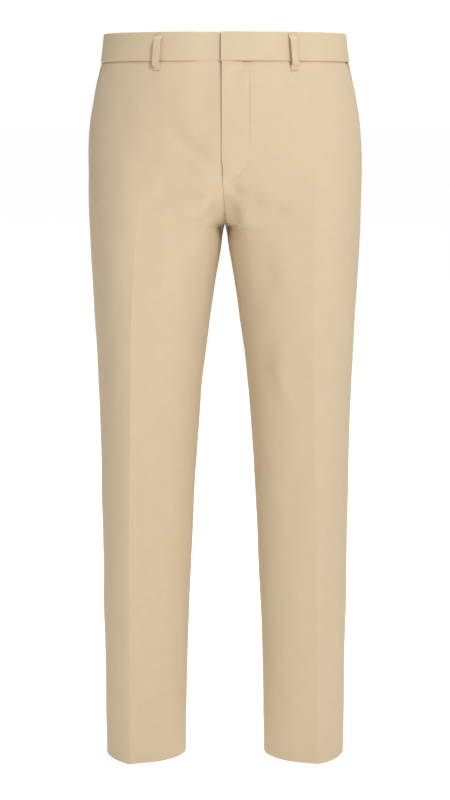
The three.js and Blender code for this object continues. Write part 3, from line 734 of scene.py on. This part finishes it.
# A row of short stitches laid along a line of points in millimetres.
def threadAlong(name, points, normals, stitch, space, radius):
    along = np.concatenate([[0], np.cumsum(np.linalg.norm(np.diff(points, axis=0), axis=1))])
    starts = np.arange(space, along[-1] - stitch, stitch + space)
    vertices, faces = [], []
    ring = 6
    for start in starts:
        ends = np.linspace(start, start + stitch, 5)
        line = np.stack([np.interp(ends, along, points[:, k]) for k in range(3)], axis=1)
        up = np.stack([np.interp(ends, along, normals[:, k]) for k in range(3)], axis=1)
        tangent = np.gradient(line, axis=0)
        tangent /= np.linalg.norm(tangent, axis=1, keepdims=True)
        across = np.cross(tangent, up)
        sizes = radius * np.array([0.35, 0.9, 1.0, 0.9, 0.35])
        sink = np.array([-0.5, 0, 0.15, 0, -0.5]) * radius
        base = len(vertices)
        for k in range(5):
            for j in range(ring):
                a = 2 * math.pi * j / ring
                height = sink[k] + math.sin(a) * sizes[k]
                vertices.append(line[k] + up[k] * height + across[k] * math.cos(a) * sizes[k])
        for k in range(4):
            for j in range(ring):
                n = (j + 1) % ring
                near = base + k * ring
                far = near + ring
                faces.append((near + j, near + n, far + n, far + j))
        faces.append(tuple(base + j for j in reversed(range(ring))))
        faces.append(tuple(base + 4 * ring + j for j in range(ring)))
    mesh = bpy.data.meshes.new(name)
    mesh.from_pydata((np.array(vertices) * mm).tolist(), [], faces)
    mesh.uv_layers.new(name="cloth")
    mesh.shade_smooth()
    mesh.materials.append(thread)
    piece = bpy.data.objects.new(name, mesh)
    bpy.context.scene.collection.objects.link(piece)
    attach(piece, "root")


# Points on a panel's cloth at distances x from the centre.
def clothLine(side, panel, x, drop, out):
    u = 0.5 * np.clip(x / lengthsAt(side, panel, drop)[0], 0, 1)
    uGrid = np.stack([u - 0.002, u, u + 0.002])
    dropGrid = np.stack([drop, drop, drop])
    bare = formPoints(side, panel, uGrid, dropGrid)
    normal = np.array([0, -1.0, 0.0]) if panel == "front" else np.array([0, 1.0, 0.0])
    lift = clothLift(side, panel, u, drop, np.abs(bare[1, :, 0]))
    points = bare[1] + normal * (lift + out)[:, None]
    if panel == "front":
        held = 1 - ease(fly["bottom"], rise, drop)
        points[:, 0] += fly["seamShift"] * held * np.exp(-np.abs(bare[1, :, 0]) / fly["shiftReach"])
    return points, np.broadcast_to(normal, points.shape)


stitches = {"long": 2.1, "space": 0.5, "radius": 0.26, "raised": 0.12}
straight = np.linspace(bandHeight + 2, fly["bottom"] - fly["curve"], 60)
turn = np.linspace(0, math.pi / 2 * 0.94, 40)[1:]
stitchDrop = np.concatenate([straight, fly["bottom"] - fly["curve"] + fly["curve"] * np.sin(turn)])
stitchX = np.concatenate([np.full_like(straight, fly["width"]), fly["width"] * np.cos(turn)])
stitchLift = np.full_like(stitchX, stitches["raised"])
linePoints, lineNormals = clothLine(1, "front", stitchX, stitchDrop, stitchLift)
threadAlong("fly_stitching", linePoints, lineNormals, stitches["long"], stitches["space"], stitches["radius"])
print("fly made")

loop = {
    "width": 10.0, "wall": 1.5, "clear": 6.0, "foot": 5.0, "ramp": 4.0, "topDrop": 1.6, "bottomDrop": 51.0,
    "offBand": 0.15, "offPanel": 0.6, "steps": 90, "cutLength": 0.056,
}
# Degrees round the waist from the centre front, to the wearer's left.
loopPlaces = {
    "loop_front_left": 30.2, "loop_front_right": -29.7, "loop_side_left": 108, "loop_side_right": -108,
    "loop_back_left": 149, "loop_back_right": -149, "loop_centre_back": 180,
}


# A loop's middle line, along the waistband from its lower end and out from the cloth.
def loopPath(long):
    foot, ramp, clear, thick = (loop[k] for k in ("foot", "ramp", "clear", "wall"))
    corners = [
        (gap, 0), (foot, 0), (foot + ramp, clear), (long - foot - ramp, clear), (long - foot, 0), (long, 0),
    ]
    line, _ = evenly(np.array(corners, float), loop["steps"])
    kernel = np.array([1, 2, 3, 4, 5, 4, 3, 2, 1]) / 25
    smooth = np.stack([np.convolve(np.pad(line[:, k], 4, mode="edge"), kernel, "valid") for k in (0, 1)], 1)
    smooth[:, 1] += thick / 2
    return smooth


for name, angle in loopPlaces.items():
    side = 1 if angle > 0 else -1
    measures = (angle, loop["topDrop"], loop["bottomDrop"])
    angleArray, topDrop, bottomDrop = (np.array(float(value)) for value in measures)
    lift = float(bandOffset(side, waistPoints(angleArray, np.array(0.0))[0])) + loop["offBand"]
    top = waistPoints(angleArray, topDrop) + waistNormals(angleArray, topDrop) * lift
    bottom = waistPoints(angleArray, bottomDrop) + waistNormals(angleArray, bottomDrop) * loop["offPanel"]
    up = (top - bottom) / np.linalg.norm(top - bottom)
    face = waistNormals(angleArray, np.array(bandHeight / 2))
    across = np.cross(up, face)
    across /= np.linalg.norm(across)
    outAxis = np.cross(across, up)
    path = loopPath(np.linalg.norm(top - bottom))
    tangent = np.gradient(path, axis=0)
    tangent /= np.linalg.norm(tangent, axis=1, keepdims=True)
    pathNormal = np.stack([-tangent[:, 1], tangent[:, 0]], axis=1)
    half = loop["width"] / 2
    t = np.linspace(-1, 1, 21)
    edge = np.sqrt(np.clip(1 - np.abs(t) ** 14, 0.05, 1))
    stitched = groove((np.abs(t) - 0.72) * half, 0.35, 0.16)
    grids = []
    for sign in (1, -1):
        shift = sign * (loop["wall"] / 2) * edge[None, :] + (stitched if sign > 0 else 0)
        inPlane = path[:, None, :] + pathNormal[:, None, :] * shift[..., None]
        grid = bottom + inPlane[..., :1] * up + inPlane[..., 1:] * outAxis
        grids.append(grid + (t * half)[None, :, None] * across)
    along = np.linspace(0, 1, loop["steps"] + 1) * np.linalg.norm(top - bottom)
    uv = np.stack(np.meshgrid(t * half * mm, along * mm), axis=-1)
    piece = shell("strap_" + name[5:], grids[0], grids[1], loopCloth, uv)
    declare(piece, name)
print("loops made")

for node in ("waist_hook", "waist_bar"):
    for slot in bpy.data.objects[node].material_slots:
        slot.material = hookMetal

studioFloor = {"size": 60, "back": 20, "below": 0.0015, "white": 0.85, "glow": 0.68}
floorPlace = (0, studioFloor["back"], cadBox[0][2] - studioFloor["below"])
bpy.ops.mesh.primitive_plane_add(size=studioFloor["size"], location=floorPlace)
floor = bpy.context.object
floor.name = "studio_floor"
floorMaterial = bpy.data.materials.new("studio_white")
floorMaterial.use_nodes = True
floorSockets = floorMaterial.node_tree.nodes["Principled BSDF"].inputs
floorSockets["Base Color"].default_value = (*[studioFloor["white"]] * 3, 1)
floorSockets["Roughness"].default_value = 0.9
floorSockets["Specular IOR Level"].default_value = 0
floorSockets["Emission Color"].default_value = (1, 1, 1, 1)
floorSockets["Emission Strength"].default_value = studioFloor["glow"]
floor.data.materials.append(floorMaterial)

world = bpy.data.worlds.new("studio")
bpy.context.scene.world = world
world.use_nodes = True
nodes, links = world.node_tree.nodes, world.node_tree.links
direction = nodes.new("ShaderNodeTexCoord")
parts = nodes.new("ShaderNodeSeparateXYZ")
links.new(direction.outputs["Generated"], parts.inputs["Vector"])


# Brightness by direction along an axis: 0 is the far negative way, 1 the far positive.
def directionRamp(axis, stops):
    shift = nodes.new("ShaderNodeMath")
    shift.operation = "MULTIPLY_ADD"
    shift.inputs[1].default_value = 0.5
    shift.inputs[2].default_value = 0.5
    links.new(parts.outputs[axis], shift.inputs[0])
    gradient = nodes.new("ShaderNodeValToRGB")
    while len(gradient.color_ramp.elements) < len(stops):
        gradient.color_ramp.elements.new(0.5)
    for element, (place, value) in zip(gradient.color_ramp.elements, stops):
        element.position = place
        element.color = (value, value, value, 1)
    links.new(shift.outputs["Value"], gradient.inputs["Fac"])
    return gradient.outputs["Color"]


# Dark flats stand at both sides, and the wall behind is the brightest.
sides = directionRamp("X", [(0.0, 0.05), (0.2, 0.1), (0.38, 1.0), (0.62, 1.0), (0.8, 0.06), (1.0, 0.02)])
ahead = directionRamp("Y", [(0.0, 0.42), (0.45, 0.42), (0.75, 1.04), (1.0, 1.04)])
both = nodes.new("ShaderNodeVectorMath")
both.operation = "MULTIPLY"
links.new(sides, both.inputs[0])
links.new(ahead, both.inputs[1])
links.new(both.outputs["Vector"], nodes["Background"].inputs["Color"])

lights = [
    {"name": "key_right", "at": (0.75, -1.75, 1.4), "aim": (0.0, 0, -0.1), "size": 0.5, "watts": 33},
    {"name": "overhead", "at": (0.2, 0.4, 2.4), "aim": (0, 0.4, -1.0), "size": 3.0, "watts": 60},
]
for spec in lights:
    light = bpy.data.lights.new(spec["name"], "AREA")
    light.shape = "SQUARE"
    light.size = spec["size"]
    light.energy = spec["watts"]
    lamp = bpy.data.objects.new(spec["name"], light)
    bpy.context.scene.collection.objects.link(lamp)
    lamp.location = spec["at"]
    lamp.rotation_euler = (Vector(spec["aim"]) - Vector(spec["at"])).to_track_quat("-Z", "Y").to_euler()

shot = {"at": (0, -2.4, -0.066), "down": 10.1, "lens": 76.6, "sensor": 36}
camera = bpy.data.cameras.new("camera")
camera.lens = shot["lens"]
camera.sensor_width = shot["sensor"]
cameraObject = bpy.data.objects.new("camera", camera)
bpy.context.scene.collection.objects.link(cameraObject)
cameraObject.location = shot["at"]
cameraObject.rotation_euler = (math.radians(90 - shot["down"]), 0, 0)
bpy.context.scene.camera = cameraObject
bpy.context.scene.view_settings.view_transform = "Standard"
print("studio made")
